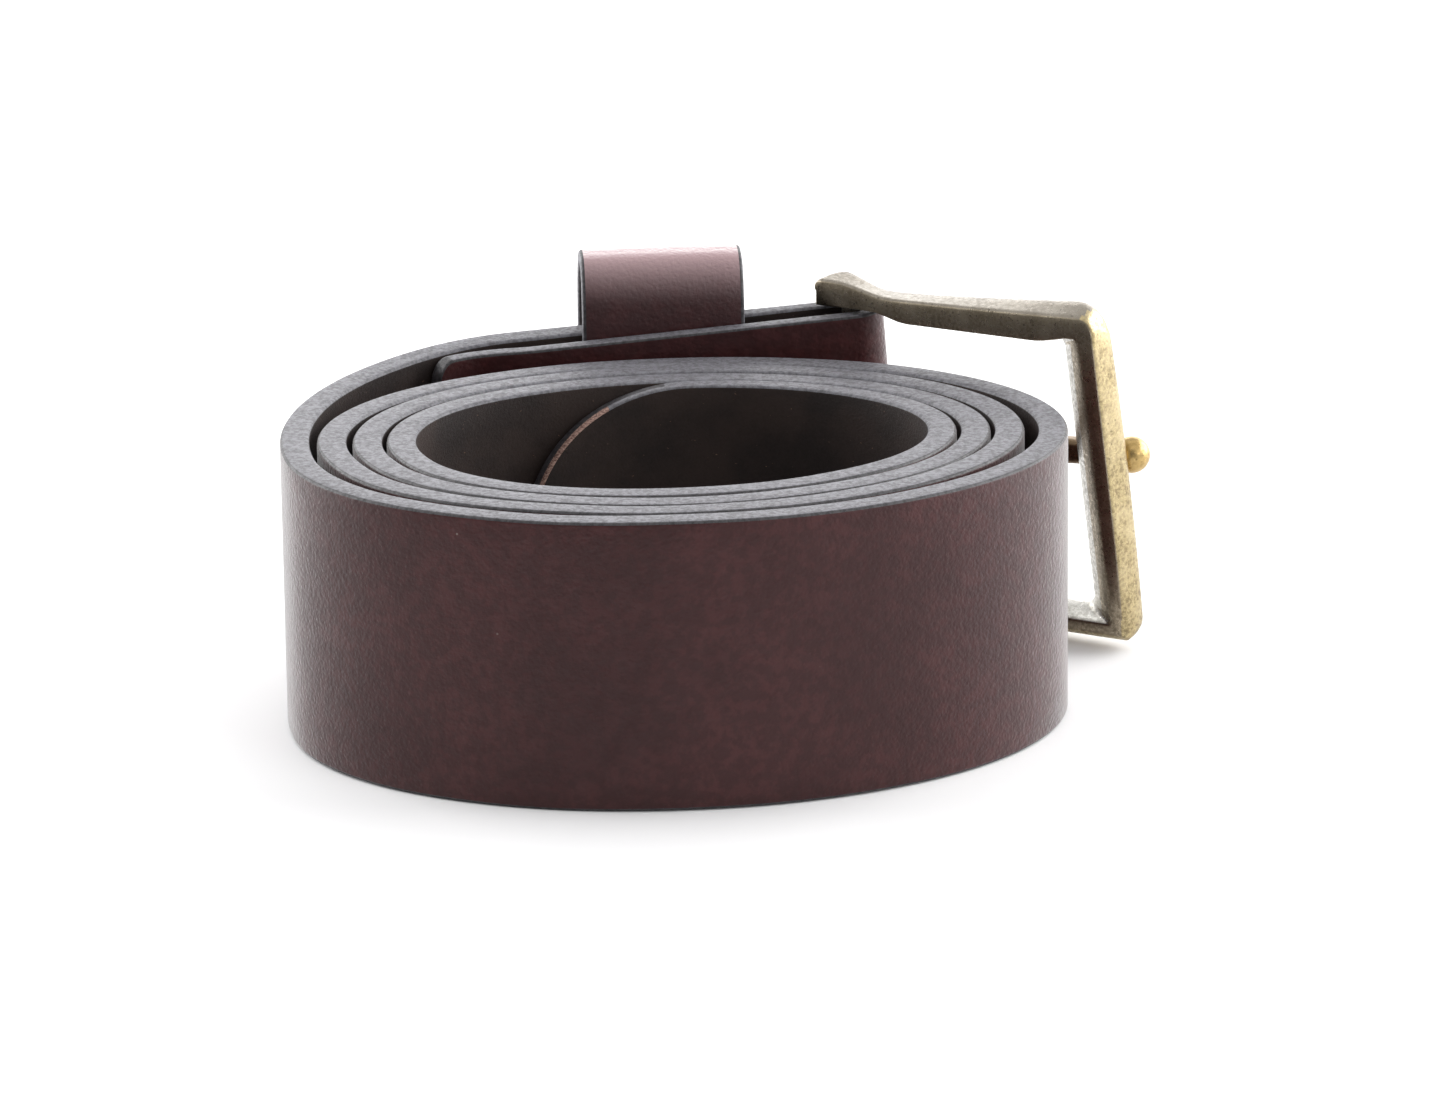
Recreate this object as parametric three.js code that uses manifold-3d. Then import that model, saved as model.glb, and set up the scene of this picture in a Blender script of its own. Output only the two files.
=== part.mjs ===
// A leather belt with a brass buckle, coiled up and standing on its edge.
// Units are millimetres, +Z is up, and the origin is at the middle of the bottom of the whole object.
import * as THREE from 'three';
import { mergeVertices } from 'three/addons/utils/BufferGeometryUtils.js';
import Module from 'manifold-3d';

const wasm = await Module();
wasm.setup();

const degrees = Math.PI / 180;
const up = new THREE.Vector3(0, 0, 1);

// ---- Driving dimensions -------------------------------------------------------------------------

const gap = 0.3;                 // between pieces that touch
const strapWidth = 38;
const leather = 3.85;            // full thickness of the strap
const thinned = 2.2;             // thickness where it is pared down to be folded
const tipThickness = 2.5;        // the tip is pared down too, from its outer side
const tipPared = 80;             // length over which the tip reaches full thickness
const edgeChamfer = 0.5;
const tipLength = 23.3;          // how far the rounded tip reaches past the straight edges

// The coil: each layer lies between the inner oval, its eye, and the outer oval, its rim.
const eye = { a: 33.0, b: 23.8, turn: 9.6 * degrees, x: -0.1, y: -2.0 };
const rim = { a: 51.2, b: 39.3, turn: 8.7 * degrees, x: 0, y: -2.3 };
const layersBetween = 3;         // whole turns from the eye to the rim
const tipTurn = 0.329;           // where the tip starts, in turns from the oval's long axis
const coilTurns = 3.819;         // the strap leaves the coil after this many turns
const stepFrom = 0.794;          // part of each turn after which a layer climbs over the one below
// How much tighter than evenly spaced each layer sits at the back and at the two bends.
const tighter = {
  back: [0, 0.06, 0.032, 0],
  right: [0, 0.033, 0.062, 0],
  left: [0, 0.019, 0.042, 0],
};

// The straight end of the strap that carries the buckle.
const foldPlan = { x: 25.3, y: 47.7 };    // strap centre line at the fold, from the coil's centre
const runLength = 48;
const runHeading = 4 * degrees;
const runTilt = 4.6 * degrees;   // the run climbs towards the buckle
const runLean = 4.5 * degrees;   // and its upper edge leans towards the coil
const foldLift = 5.4;            // height of the lower edge at the fold
const leanStart = 105;           // distance before the fold where the lean begins
const departReach = 24;          // lengths of the two handles of the departing curve
const arriveReach = 21;

const barRadius = 1.3;
const foldRadius = barRadius + gap + thinned / 2;
const turnBackLength = 61.5;
const airAtEnd = 0.6;            // air left between the two leathers at the end of the turn-back
const closeOver = 16;            // length past the keeper over which they come together
const slot = { before: 8, after: 6.5, width: 9 };
const hole = { radius: 2.5, first: 100, spacing: 25, count: 5 };

const keeper = { wall: 1.8, width: 22, height: 50.3, room: 8.9, distance: 27.6, foot: 0.3,
  topBend: 2.4, bottomBend: 0.9 };
const keeperClearance = 0.3;
const keeperSlide = 2;           // it can be pushed this far either way along the strap
const screwDistances = [11, 45.5];
const screw = { post: 2.2, shank: 1.4, head: 3.3, headThickness: 1.2, hole: 2.9 };

const buckle = { heel: -5, end: 40, halfHeight: 23.25, halfOpening: 20.4, depth: 5.2, waist: 0.9,
  endBack: 2.6, endFront: 6.5, backStep: 2.4, corner: 2, raised: -0.7 };
const buckleYaw = 37.8 * degrees;
const barTilt = 0.7 * degrees;   // the bar is loose in the fold and lies a little askew in it
const barSetBack = 0.3;
const prong = { width: 4.2, thickness: 3.4, tipRadius: 2.35, reach: 38.8, rise: 0.3, eyeWall: 1.7 };

// ---- Small tools --------------------------------------------------------------------------------

function smooth(x) {
  const t = Math.min(1, Math.max(0, x));
  return t * t * (3 - 2 * t);
}

function mix(a, b, t) {
  return a + (b - a) * t;
}

function solid(geometry) {
  const bare = geometry.clone();
  bare.deleteAttribute('normal');
  bare.deleteAttribute('uv');
  const merged = mergeVertices(bare, 1e-4);
  return new wasm.Manifold(new wasm.Mesh({
    numProp: 3,
    vertProperties: Float32Array.from(merged.attributes.position.array),
    triVerts: Uint32Array.from(merged.index.array),
  }));
}

function geometryOf(manifold) {
  const mesh = manifold.getMesh();
  const geometry = new THREE.BufferGeometry();
  geometry.setAttribute('position', new THREE.BufferAttribute(Float32Array.from(mesh.vertProperties), 3));
  geometry.setIndex(new THREE.BufferAttribute(Uint32Array.from(mesh.triVerts), 1));
  geometry.computeVertexNormals();
  return geometry;
}

function mapVertices(geometry, move) {
  const position = geometry.attributes.position;
  const p = new THREE.Vector3();
  for (let i = 0; i < position.count; i += 1) {
    p.fromBufferAttribute(position, i);
    p.copy(move(p.x, p.y, p.z));
    position.setXYZ(i, p.x, p.y, p.z);
  }
  geometry.computeVertexNormals();
  return geometry;
}

// ---- The strap's centre line ----------------------------------------------------------------------

// A point of an oval, moved out by `grow`, at the angle `psi` from its long axis.
function ovalPoint(oval, psi, grow) {
  const x = (oval.a + grow) * Math.cos(psi);
  const y = (oval.b + grow) * Math.sin(psi);
  const c = Math.cos(oval.turn);
  const s = Math.sin(oval.turn);
  return new THREE.Vector3(oval.x + x * c - y * s, oval.y + x * s + y * c, 0);
}

function tightness(layer, psi) {
  return tighter.back[layer] * Math.max(0, Math.sin(psi)) ** 2
    + tighter.right[layer] * Math.max(0, Math.cos(psi)) ** 2
    + tighter.left[layer] * Math.max(0, -Math.cos(psi)) ** 2;
}

// The coil seen from above, wound clockwise from the tip at the back.
class Coil extends THREE.Curve {
  getPoint(t, target = new THREE.Vector3()) {
    const turns = t * coilTurns;
    const psi = (tipTurn - turns) * 2 * Math.PI;
    const layer = Math.min(Math.floor(turns), layersBetween);
    const next = Math.min(layer + 1, layersBetween);
    const climb = layer < layersBetween ? smooth((turns - layer - stepFrom) / (1 - stepFrom)) : 0;
    const tight = mix(tightness(layer, psi), tightness(next, psi), climb);
    const inner = ovalPoint(eye, psi, leather / 2);
    const outer = ovalPoint(rim, psi, -leather / 2);
    return target.copy(inner).lerp(outer, (layer + climb) / layersBetween - tight);
  }
}

function strapPath() {
  const coil = new Coil();
  coil.arcLengthDivisions = 3000;
  const heading = new THREE.Vector3(Math.cos(runHeading), Math.sin(runHeading), 0);
  const fold = new THREE.Vector3(foldPlan.x, foldPlan.y, 0);
  const runStart = fold.clone().addScaledVector(heading, -runLength);
  const leave = coil.getPoint(1);
  const leaveDirection = coil.getTangent(1);
  const depart = new THREE.CubicBezierCurve3(
    leave,
    leave.clone().addScaledVector(leaveDirection, departReach),
    runStart.clone().addScaledVector(heading, -arriveReach),
    runStart,
  );
  const path = new THREE.CurvePath();
  path.add(coil);
  path.add(depart);
  path.add(new THREE.LineCurve3(runStart, fold));
  return path;
}

const path = strapPath();
const foldStart = path.getLength();
const foldArc = Math.PI * foldRadius;
const strapLength = foldStart + foldArc + turnBackLength;
const climbEnd = runLength + 2 * (foldLift / Math.tan(runTilt) - runLength);

// Height of the strap's lower edge, and its slope, at a distance before the fold.
function liftAt(before) {
  const slope = Math.tan(runTilt);
  if (before < runLength) {
    return { lift: foldLift - slope * before, slope };
  }
  const left = Math.max(0, climbEnd - before) / (climbEnd - runLength);
  const atRunStart = foldLift - slope * runLength;
  return { lift: atRunStart * left * left, slope: slope * left };
}

// The strap's own axes at a distance from its tip: along it, up across it, and out of its grain side.
function mainFrame(s) {
  const place = Math.min(Math.max(s / foldStart, 0), 1);
  const before = foldStart - s;
  const { lift, slope } = liftAt(before);
  const along = path.getTangent(place).setZ(slope).normalize();
  const level = new THREE.Vector3().crossVectors(up, along).normalize();
  const lean = runLean * smooth((leanStart - before) / (leanStart - runLength));
  const upright = new THREE.Vector3().crossVectors(along, level);
  const across = upright.clone().multiplyScalar(Math.cos(lean)).addScaledVector(level, -Math.sin(lean));
  const out = new THREE.Vector3().crossVectors(across, along);
  const centre = path.getPoint(place).setZ(strapWidth / 2 + lift);
  return { centre, along, across, out };
}

const foldFrame = mainFrame(foldStart);
const barCentre = foldFrame.centre.clone().addScaledVector(foldFrame.out, -foldRadius);

function thicknessAt(s) {
  const atTip = mix(tipThickness, leather, smooth(s / tipPared));
  const atFold = mix(thinned, leather, smooth((foldStart - s - 4) / 40));
  return Math.min(atTip, atFold);
}

// How far the keeper can reach either way along the strap; it stands upright on the sloping strap.
const keeperReach = (keeper.width + keeper.height * Math.sin(runTilt)) / 2 + keeperSlide;

// Distance from the middle of the strap to the inner face of the keeper's nearer leg.
function keeperNearFace() {
  return thicknessAt(foldStart - keeper.distance - keeperReach) / 2 + keeperClearance;
}

// Distance between the middles of the strap and of its turned-back end.
function turnBackOffset(before) {
  const together = (thicknessAt(foldStart - before) + thinned) / 2 + airAtEnd;
  const pastKeeper = keeperNearFace() + keeper.wall + keeperClearance + thinned / 2;
  const away = before - keeper.distance - keeperReach;
  const apart = mix(pastKeeper, together, smooth((away - gap) / closeOver));
  return mix(2 * foldRadius, apart, smooth((before - 1) / 10));
}

function strapFrame(s) {
  if (s <= foldStart) {
    return mainFrame(s);
  }
  const { along, across, out } = foldFrame;
  if (s <= foldStart + foldArc) {
    const angle = (s - foldStart) / foldRadius;
    const normal = out.clone().multiplyScalar(Math.cos(angle)).addScaledVector(along, Math.sin(angle));
    return { centre: barCentre.clone().addScaledVector(normal, foldRadius), across, out: normal };
  }
  const before = s - foldStart - foldArc;
  const main = mainFrame(foldStart - before);
  return {
    centre: main.centre.addScaledVector(main.out, -turnBackOffset(before)),
    across: main.across,
    out: main.out.negate(),
  };
}

// ---- The strap ------------------------------------------------------------------------------------

// Cutting is done with the strap laid round one open ring, before it is wound up.
const ringRadius = strapLength * 1.04 / (2 * Math.PI);

function toRing(s, w, n) {
  const angle = s / ringRadius;
  const r = ringRadius + n;
  return new THREE.Vector3(r * Math.cos(angle), r * Math.sin(angle), w);
}

// The ring runs the other way round from the coil, so the strap is turned over across its width.
function fromRing(x, y, z) {
  let angle = Math.atan2(y, x);
  if (angle < -0.1) {
    angle += 2 * Math.PI;
  }
  return { s: angle * ringRadius, w: -z, n: Math.hypot(x, y) - ringRadius };
}

function windUp(x, y, z) {
  const { s, w, n } = fromRing(x, y, z);
  const { centre, across, out } = strapFrame(s);
  const thick = thicknessAt(s);
  const pared = s < tipPared ? leather - thick : 0;
  return centre.clone().addScaledVector(across, w).addScaledVector(out, n * thick / leather - pared / 2);
}

function strapStations() {
  const stations = [];
  const add = (from, to, step) => {
    const count = Math.ceil((to - from) / step);
    for (let i = 0; i < count; i += 1) {
      stations.push(mix(from, to, i / count));
    }
  };
  add(0, foldStart - 48, 3.6);
  add(foldStart - 48, foldStart, 3);
  add(foldStart, foldStart + foldArc, 1);
  add(foldStart + foldArc, foldStart + foldArc + 10, 2);
  add(foldStart + foldArc + 10, strapLength, 3);
  stations.push(strapLength);
  return stations;
}

function strapBlank() {
  const w = strapWidth / 2;
  const n = leather / 2;
  const c = edgeChamfer;
  const section = new THREE.Shape();
  section.moveTo(-w + c, -n);
  section.lineTo(w - c, -n);
  section.lineTo(w, -n + c);
  section.lineTo(w, n - c);
  section.lineTo(w - c, n);
  section.lineTo(-w + c, n);
  section.lineTo(-w, n - c);
  section.lineTo(-w, -n + c);
  section.closePath();
  const stations = strapStations();
  const steps = stations.length - 1;
  const blank = new THREE.ExtrudeGeometry(section, { depth: steps, steps, bevelEnabled: false });
  return mapVertices(blank, (x, y, z) => toRing(stations[Math.round(z)], x, y));
}

function tipCutter() {
  const half = strapWidth / 2;
  const margin = 6;
  const shape = new THREE.Shape();
  shape.moveTo(tipLength, half);
  shape.absellipse(tipLength, 0, tipLength, half, Math.PI / 2, Math.PI * 1.5, false);
  shape.lineTo(tipLength, -half - margin);
  shape.lineTo(-margin, -half - margin);
  shape.lineTo(-margin, half + margin);
  shape.lineTo(tipLength, half + margin);
  shape.closePath();
  const cutter = new THREE.ExtrudeGeometry(shape, { depth: 12, curveSegments: 24, bevelEnabled: false });
  return mapVertices(cutter, (s, w, n) => toRing(s, w, n - 6));
}

function holeCutter(s, radius) {
  const cutter = new THREE.CylinderGeometry(radius, radius, 12, 16);
  return mapVertices(cutter, (x, y, z) => toRing(s + x, -z, y));
}

function slotCutter() {
  const from = foldStart - slot.before;
  const to = foldStart + foldArc + slot.after;
  const r = slot.width / 2;
  const shape = new THREE.Shape();
  shape.moveTo(from + r, -r);
  shape.lineTo(to - r, -r);
  shape.absarc(to - r, 0, r, -Math.PI / 2, Math.PI / 2, false);
  shape.lineTo(from + r, r);
  shape.absarc(from + r, 0, r, Math.PI / 2, Math.PI * 1.5, false);
  const cutter = new THREE.ExtrudeGeometry(shape, { depth: 12, curveSegments: 8, bevelEnabled: false });
  return mapVertices(cutter, (s, w, n) => toRing(s, w, n - 6));
}

function strapGeometry() {
  let strap = solid(strapBlank()).subtract(solid(tipCutter()));
  for (let i = 0; i < hole.count; i += 1) {
    strap = strap.subtract(solid(holeCutter(hole.first + i * hole.spacing, hole.radius)));
  }
  strap = strap.subtract(solid(slotCutter()));
  for (const distance of screwDistances) {
    strap = strap.subtract(solid(holeCutter(foldStart - distance, screw.hole)));
    strap = strap.subtract(solid(holeCutter(foldStart + foldArc + distance, screw.hole)));
  }
  return mapVertices(geometryOf(strap), windUp);
}

// ---- The keeper and its staple --------------------------------------------------------------------

// Places a piece drawn with x along the strap, y out of its grain side and z across it.
function onStrap(mesh, distance) {
  const { centre, along, across, out } = mainFrame(foldStart - distance);
  mesh.quaternion.setFromRotationMatrix(new THREE.Matrix4().makeBasis(along, out, across));
  mesh.position.copy(centre);
  return mesh;
}

// The keeper stands upright in the plane of the strap, which climbs through it.
function standKeeper(mesh) {
  onStrap(mesh, keeper.distance);
  mesh.rotateY(runTilt);
  const upright = new THREE.Vector3(0, 0, 1).applyQuaternion(mesh.quaternion);
  mesh.position.addScaledVector(upright, (keeper.foot - mesh.position.z) / upright.z);
  return mesh;
}

function roundedOutline(target, halfX, halfY, top, bottom) {
  target.moveTo(-halfX + bottom, -halfY);
  target.lineTo(halfX - bottom, -halfY);
  target.absarc(halfX - bottom, -halfY + bottom, bottom, -Math.PI / 2, 0, false);
  target.lineTo(halfX, halfY - top);
  target.absarc(halfX - top, halfY - top, top, 0, Math.PI / 2, false);
  target.lineTo(-halfX + top, halfY);
  target.absarc(-halfX + top, halfY - top, top, Math.PI / 2, Math.PI, false);
  target.lineTo(-halfX, -halfY + bottom);
  target.absarc(-halfX + bottom, -halfY + bottom, bottom, Math.PI, Math.PI * 1.5, false);
  return target;
}

function keeperGeometry() {
  const halfX = keeper.room / 2 + keeper.wall;
  const halfY = keeper.height / 2;
  const { wall, topBend, bottomBend } = keeper;
  const shape = roundedOutline(new THREE.Shape(), halfX, halfY, topBend + wall, bottomBend + wall);
  shape.holes.push(roundedOutline(new THREE.Path(), halfX - wall, halfY - wall, topBend, bottomBend));
  const loop = new THREE.ExtrudeGeometry(shape, { depth: keeper.width, curveSegments: 5, bevelEnabled: false });
  // Drawn across and up, extruded along: turned so that it lies along the strap, foot at zero.
  return mapVertices(loop, (x, y, z) => new THREE.Vector3(
    z - keeper.width / 2,
    x - keeperNearFace() + keeper.room / 2,
    y + halfY,
  ));
}

// ---- The screws that hold the turned-back end -----------------------------------------------------

// A lathe profile given as [radius, height] pairs, its axis pointing out of the strap.
function turned(points) {
  const profile = points.map(([radius, height]) => new THREE.Vector2(radius, height));
  return new THREE.LatheGeometry(profile, 20);
}

// How far the leathers reach out and in under a screw's two heads.
function screwStack(distance) {
  let outside = 0;
  let inside = 0;
  for (let away = -screw.head; away <= screw.head; away += screw.head / 4) {
    outside = Math.max(outside, thicknessAt(foldStart - distance - away) / 2);
    inside = Math.max(inside, turnBackOffset(distance + away) + thinned / 2);
  }
  return { outside: outside + gap, inside: inside + gap };
}

// The post: a flat head on the grain side with a hollow shank through both leathers.
function postGeometry(distance) {
  const { outside: head, inside } = screwStack(distance);
  const bore = screw.shank + gap;
  return turned([
    [0, head + screw.headThickness],
    [screw.head - 0.5, head + screw.headThickness],
    [screw.head, head + screw.headThickness - 0.5],
    [screw.head, head],
    [screw.post, head],
    [screw.post, -inside + gap],
    [bore, -inside + gap],
    [bore, head - 0.6],
    [0, head - 0.6],
  ].reverse());
}

function screwGeometry(distance) {
  const { inside } = screwStack(distance);
  const seat = -inside;
  const depth = 3.2;
  const blank = turned([
    [0, seat - screw.headThickness],
    [screw.head - 0.5, seat - screw.headThickness],
    [screw.head, seat - screw.headThickness + 0.5],
    [screw.head, seat],
    [screw.shank, seat],
    [screw.shank, seat + depth],
    [0, seat + depth],
  ]);
  const driverSlot = new THREE.BoxGeometry(screw.head * 3, 1.0, 1.2);
  driverSlot.translate(0, seat - screw.headThickness, 0);
  return { blank, driverSlot };
}

// ---- The buckle -----------------------------------------------------------------------------------

// The buckle is drawn with x from the heel bar to the end bar, z along the heel bar, y out to its face.
function onBuckle(mesh) {
  const { along, across, out } = foldFrame;
  mesh.quaternion.setFromRotationMatrix(new THREE.Matrix4().makeBasis(along, out, across));
  mesh.rotateY(-barTilt).rotateZ(-buckleYaw);
  mesh.position.copy(barCentre).addScaledVector(across, buckle.raised).addScaledVector(along, -barSetBack);
  return mesh;
}

// A U-shaped plate open at the heel. `endWidth` is the width of the end bar.
function framePlate(endWidth, from, to) {
  const { heel, end, halfHeight: h, halfOpening: o, waist, corner: r } = buckle;
  const middle = (heel + end) / 2;
  const inside = end - endWidth;
  const innerCorner = 2;
  const shape = new THREE.Shape();
  shape.moveTo(heel, -o);
  shape.lineTo(heel, -h + r);
  shape.absarc(heel + r, -h + r, r, Math.PI, Math.PI * 1.5, false);
  shape.quadraticCurveTo(middle, -h + 2 * waist, end - r, -h);
  shape.absarc(end - r, -h + r, r, -Math.PI / 2, 0, false);
  shape.lineTo(end, h - r);
  shape.absarc(end - r, h - r, r, 0, Math.PI / 2, false);
  shape.quadraticCurveTo(middle, h - 2 * waist, heel + r, h);
  shape.absarc(heel + r, h - r, r, Math.PI / 2, Math.PI, false);
  shape.lineTo(heel, o);
  shape.lineTo(inside - innerCorner, o);
  shape.absarc(inside - innerCorner, o - innerCorner, innerCorner, Math.PI / 2, 0, true);
  shape.lineTo(inside, -o + innerCorner);
  shape.absarc(inside - innerCorner, -o + innerCorner, innerCorner, 0, -Math.PI / 2, true);
  shape.closePath();
  const depth = to - from;
  const plate = new THREE.ExtrudeGeometry(shape, { depth, curveSegments: 6, bevelEnabled: false });
  return mapVertices(plate, (x, y, z) => new THREE.Vector3(x, -(z + from), y));
}

function rod(radius, fromZ, toZ, sides) {
  const bar = new THREE.CylinderGeometry(radius, radius, toZ - fromZ, sides);
  return bar.rotateX(Math.PI / 2).translate(0, 0, (fromZ + toZ) / 2);
}

const barHalf = buckle.halfOpening + 2;

function frameGeometry() {
  const half = buckle.depth / 2;
  const step = -half + buckle.backStep;
  const front = solid(framePlate(buckle.endFront, -half, -step));
  const back = solid(framePlate(buckle.endBack, -step - 0.01, half));
  const sockets = solid(rod(barRadius + gap, -barHalf - gap, barHalf + gap, 16));
  return geometryOf(front.add(back).subtract(sockets));
}

function prongGeometry() {
  const bore = barRadius + gap;
  const ring = bore + prong.eyeWall;
  const eyeCentre = bore + prong.eyeWall / 2;
  const rest = buckle.depth / 2 + gap + prong.thickness / 2;
  const line = new THREE.CatmullRomCurve3([
    new THREE.Vector3(0, eyeCentre, 0),
    new THREE.Vector3(prong.reach * 0.3, eyeCentre + 1.1, 0),
    new THREE.Vector3(prong.reach * 0.7, rest + 0.5, 0),
    new THREE.Vector3(prong.reach, rest, 0),
  ]);
  const section = roundedOutline(new THREE.Shape(), prong.width / 2, prong.thickness / 2, 1.2, 1.2);
  const shank = new THREE.ExtrudeGeometry(section, { steps: 12, curveSegments: 3, extrudePath: line });
  const tip = new THREE.SphereGeometry(prong.tipRadius, 16, 12);
  tip.translate(prong.reach, buckle.depth / 2 + gap + prong.tipRadius, 0);
  const half = prong.width / 2;
  const wrapped = solid(shank).add(solid(tip)).add(solid(rod(ring, -half, half, 24)));
  return geometryOf(wrapped.subtract(solid(rod(bore, -half * 2, half * 2, 24))));
}

// ---- Assembly -------------------------------------------------------------------------------------

function piece(name, geometry, color, roughness, metalness) {
  const material = new THREE.MeshStandardMaterial({ color, roughness, metalness });
  const mesh = new THREE.Mesh(geometry, material);
  mesh.name = name;
  return mesh;
}

const leatherBrown = 0x3d2626;
const brass = 0xb39b62;
const paleBrass = 0xc7a655;

const model = new THREE.Group();
model.add(piece('strap', strapGeometry(), leatherBrown, 0.55, 0));
model.add(standKeeper(piece('keeper_loop', keeperGeometry(), leatherBrown, 0.5, 0)));

screwDistances.forEach((distance, index) => {
  const place = index === 0 ? 'fold_side' : 'tip_side';
  const { blank, driverSlot } = screwGeometry(distance);
  const screwSolid = geometryOf(solid(blank).subtract(solid(driverSlot)));
  model.add(onStrap(piece(`screw_post_${place}`, postGeometry(distance), brass, 0.4, 1), distance));
  model.add(onStrap(piece(`screw_${place}`, screwSolid, brass, 0.4, 1), distance));
});

model.add(onBuckle(piece('buckle_frame', frameGeometry(), brass, 0.4, 1)));
model.add(onBuckle(piece('heel_bar', rod(barRadius, -barHalf, barHalf, 16), brass, 0.4, 1)));
const prongMesh = onBuckle(piece('prong', prongGeometry(), paleBrass, 0.35, 1));
prongMesh.position.addScaledVector(foldFrame.across, prong.rise);
model.add(prongMesh);

const group = new THREE.Group();
group.add(model);
const box = new THREE.Box3().setFromObject(model, true);
model.position.set(-(box.min.x + box.max.x) / 2, -(box.min.y + box.max.y) / 2, -box.min.z);

export default group;
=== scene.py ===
"""A dark brown leather belt, coiled up on its edge, with an aged brass buckle.

The shapes are worked out in millimetres in the part's own frame and turned into metres when a mesh is
made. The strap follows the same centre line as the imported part.
"""
import bisect
import math

import bpy
from mathutils import Matrix, Vector, noise


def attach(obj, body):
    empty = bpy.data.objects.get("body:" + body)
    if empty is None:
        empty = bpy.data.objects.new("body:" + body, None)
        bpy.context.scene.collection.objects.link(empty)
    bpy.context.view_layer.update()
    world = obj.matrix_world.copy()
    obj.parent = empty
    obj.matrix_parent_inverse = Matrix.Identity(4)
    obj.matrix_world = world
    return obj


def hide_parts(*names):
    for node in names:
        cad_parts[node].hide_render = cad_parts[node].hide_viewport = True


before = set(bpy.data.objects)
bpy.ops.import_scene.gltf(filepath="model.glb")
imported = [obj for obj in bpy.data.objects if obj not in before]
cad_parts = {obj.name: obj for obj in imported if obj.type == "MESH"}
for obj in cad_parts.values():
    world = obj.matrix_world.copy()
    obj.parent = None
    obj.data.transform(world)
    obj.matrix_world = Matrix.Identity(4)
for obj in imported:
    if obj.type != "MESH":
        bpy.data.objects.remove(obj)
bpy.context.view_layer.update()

MM = 0.001
UP = Vector((0, 0, 1))

# ---- Sizes of the part, in millimetres -------------------------------------------------------------

COIL_CENTRE = Vector((-5.516, -7.313, 0.023))   # where the coil's centre stands in the part's frame

GAP = 0.3                        # room round every moving piece
STRAP_WIDTH = 38
LEATHER = 3.85                   # full thickness of the strap
THINNED = 2.2                    # its thickness at the fold and in the turned-back end
TIP_THICKNESS = 2.5
TIP_PARED = 80                   # the tip's paring ends this far along the strap
TIP_LENGTH = 23.3                # length of the rounded tip

# The coil's eye and rim are ovals: half axes, turn, and place of the centre.
EYE = {"a": 33.0, "b": 23.8, "turn": math.radians(9.6), "x": -0.1, "y": -2.0}
RIM = {"a": 51.2, "b": 39.3, "turn": math.radians(8.7), "x": 0, "y": -2.3}
LAYERS_BETWEEN = 3               # steps from the innermost turn to the outermost
TIP_TURN = 0.329                 # where the tip lies, as a part of a turn
COIL_TURNS = 3.819
STEP_FROM = 0.794                # part of each turn after which it climbs on to the next
# How much tighter each turn sits at the back, right and left, in steps between turns.
TIGHTER_BACK = (0, 0.06, 0.032, 0)
TIGHTER_RIGHT = (0, 0.033, 0.062, 0)
TIGHTER_LEFT = (0, 0.019, 0.042, 0)

FOLD_PLAN = (25.3, 47.7)         # place of the fold, seen from above, from the coil's centre
RUN_LENGTH = 48                  # straight run up to the fold
RUN_HEADING = math.radians(4)
RUN_TILT = math.radians(4.6)     # how steeply the run climbs
RUN_LEAN = math.radians(4.5)     # how far it leans over
FOLD_LIFT = 5.4                  # height of the strap's lower edge at the fold
LEAN_START = 105                 # the lean starts this far before the fold
DEPART_REACH = 24                # handles of the free curve between the coil and the run
ARRIVE_REACH = 21

BAR_RADIUS = 1.3
FOLD_RADIUS = BAR_RADIUS + GAP + THINNED / 2
TURN_BACK = 61.5                 # length of the turned-back end
AIR_AT_END = 0.6                 # air between it and the strap, past the keeper
CLOSE_OVER = 16                  # length over which it closes up past the keeper
SLOT_BEFORE = 8                  # the prong's slot, before and after the fold
SLOT_AFTER = 6.5
SLOT_WIDTH = 9
HOLE_RADIUS = 2.5
HOLE_PLACES = (100, 125, 150, 175, 200)

KEEPER_WALL = 1.8
KEEPER_WIDTH = 22
KEEPER_HEIGHT = 50.3
KEEPER_ROOM = 8.9                # room inside it, across the strap's thickness
KEEPER_DISTANCE = 27.6           # from the fold to its middle
KEEPER_FOOT = 0.3
KEEPER_CLEARANCE = 0.3
KEEPER_SLIDE = 2
KEEPER_TOP_BEND = 2.4
KEEPER_BOTTOM_BEND = 0.9
KEEPER_SHOULDER = 8.5            # height over which its top bends round

SCREW_PLACES = {"fold_side": 11, "tip_side": 45.5}   # distances before the fold
SCREW_POST = 2.2                 # radii of post, shank, head and hole
SCREW_SHANK = 1.4
SCREW_HEAD = 3.3
SCREW_HOLE = 2.9
SCREW_HEAD_THICKNESS = 1.2

HEEL_END = -4.1                  # the buckle's two ends, measured from its bar
BUCKLE_END = 40
BUCKLE_HALF_HEIGHT = 23.25
BUCKLE_HALF_OPENING = 20.4
BUCKLE_DEPTH = 5.2
BUCKLE_RAISED = -0.7             # its middle stands this far above the strap's middle
BUCKLE_YAW = math.radians(37.8)
BAR_TILT = math.radians(0.7)
BAR_SET_BACK = 0.3
BAR_HALF = BUCKLE_HALF_OPENING + 2
RAIL_WAIST = 22.95               # height of the rails' outer sides at their narrowest
END_BAR_WIDTH = 2.4              # width of the end bar at its back
END_BAR_SLOPE = 5.0              # how much wider it is at its front
UPPER_SAG = 1.2                  # how far the rails' inner sides come in past the heel
LOWER_SAG = 0.9
RAIL_STEPS = 26
CORNER_STEPS = 8
END_STEPS = 18

PRONG_WIDTH = 4.2
PRONG_THICKNESS = 3.4
PRONG_BALL = 2.5
PRONG_REACH = 39.3
PRONG_LEAN = 0.9                 # how far the tip stands above a level line from the bar
PRONG_RISE = 0.3
PRONG_EYE_WALL = 1.7
PRONG_BORE = 1.58                # radius cut through the shank, just inside the eye's own bore


# ---- Small tools -----------------------------------------------------------------------------------

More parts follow.
